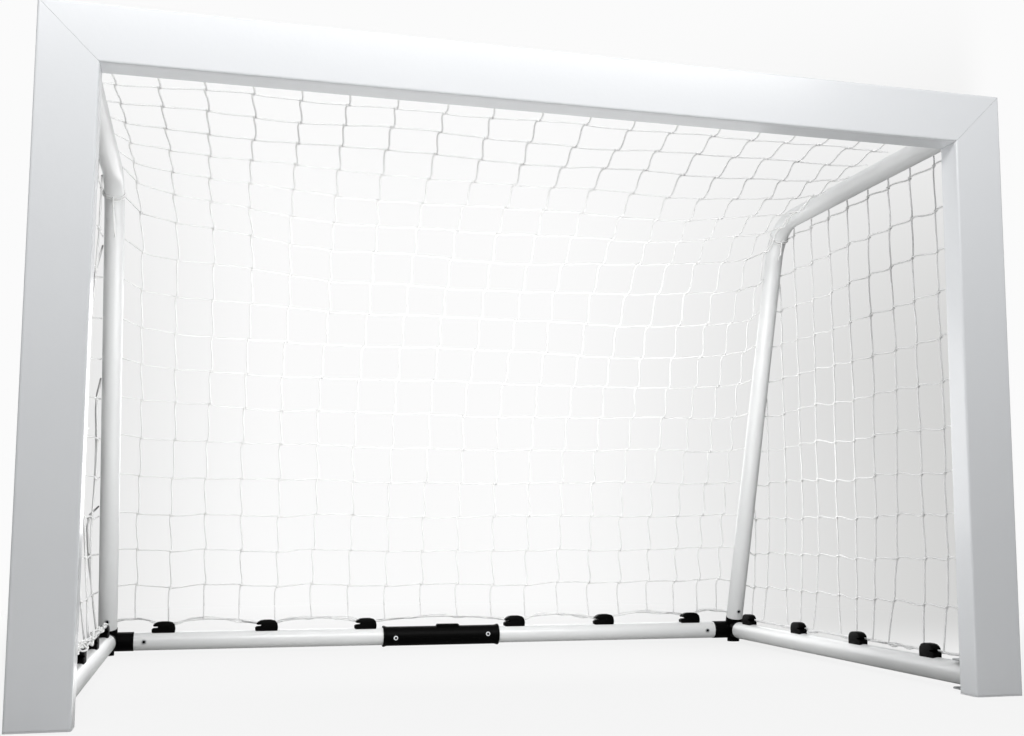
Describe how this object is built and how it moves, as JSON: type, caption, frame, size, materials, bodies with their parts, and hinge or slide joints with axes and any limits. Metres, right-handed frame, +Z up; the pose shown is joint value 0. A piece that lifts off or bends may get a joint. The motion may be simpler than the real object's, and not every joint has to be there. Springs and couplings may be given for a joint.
{
  "type": "mini soccer goal",
  "caption": "Small free-standing football goal with a mitred rectangular front frame, bent tubular side bows, ground bars and a knotted net.",
  "frame": {"origin": "on the ground, in the middle of the goal's footprint", "axes": "+X along the crossbar, to the right as seen by a shooter; -Y towards the shooter; +Z up"},
  "size_m": [1.8, 1.227, 1.175],
  "materials": {
    "frame_coat": "gloss white powder coat",
    "tube_coat": "white powder coat, semi gloss",
    "end_cap": "moulded, satin",
    "black_plastic": "moulded, satin",
    "zinc_steel": "bright zinc plate",
    "net_cord": "knotted polypropylene cord"
  },
  "bodies": {
    "root": {"centre_sleeve": "black_plastic", "crossbar": "frame_coat", "left_angle_plate": "zinc_steel", "left_bow": "tube_coat", "left_bow_screw": "zinc_steel", "left_corner_joint": "black_plastic", "left_crossbar_plate_screw": "zinc_steel", "left_foot_bolt": "zinc_steel", "left_foot_bracket": "zinc_steel", "left_foot_bracket_rivet_1": "zinc_steel", "left_ground_bar": "tube_coat", "left_net_clip_1": "black_plastic", "left_net_clip_2": "black_plastic", "left_net_clip_3": "black_plastic", "left_net_clip_4": "black_plastic", "left_post": "frame_coat", "left_post_end_cap": "end_cap", "left_post_plate_screw": "zinc_steel", "left_rear_bar": "tube_coat", "left_rear_bar_screw": "zinc_steel", "left_side_net": "net_cord", "left_sleeve_rivet": "zinc_steel", "left_top_bolt": "zinc_steel", "left_top_bracket": "zinc_steel", "left_top_bracket_rivet_1": "zinc_steel", "left_top_bracket_rivet_2": "zinc_steel", "net_lower_back": "net_cord", "net_middle_back": "net_cord", "net_roof": "net_cord", "net_upper_back": "net_cord", "rear_net_clip_1": "black_plastic", "rear_net_clip_2": "black_plastic", "rear_net_clip_3": "black_plastic", "rear_net_clip_4": "black_plastic", "rear_net_clip_5": "black_plastic", "rear_net_clip_6": "black_plastic", "right_angle_plate": "zinc_steel", "right_bow": "tube_coat", "right_bow_screw": "zinc_steel", "right_corner_joint": "black_plastic", "right_crossbar_plate_screw": "zinc_steel", "right_foot_bolt": "zinc_steel", "right_foot_bracket": "zinc_steel", "right_foot_bracket_rivet_1": "zinc_steel", "right_ground_bar": "tube_coat", "right_net_clip_1": "black_plastic", "right_net_clip_2": "black_plastic", "right_net_clip_3": "black_plastic", "right_net_clip_4": "black_plastic", "right_post": "frame_coat", "right_post_end_cap": "end_cap", "right_post_plate_screw": "zinc_steel", "right_rear_bar": "tube_coat", "right_rear_bar_screw": "zinc_steel", "right_side_net": "net_cord", "right_sleeve_rivet": "zinc_steel", "right_top_bolt": "zinc_steel", "right_top_bracket": "zinc_steel", "right_top_bracket_rivet_1": "zinc_steel", "right_top_bracket_rivet_2": "zinc_steel"}
  },
  "joints": []
}
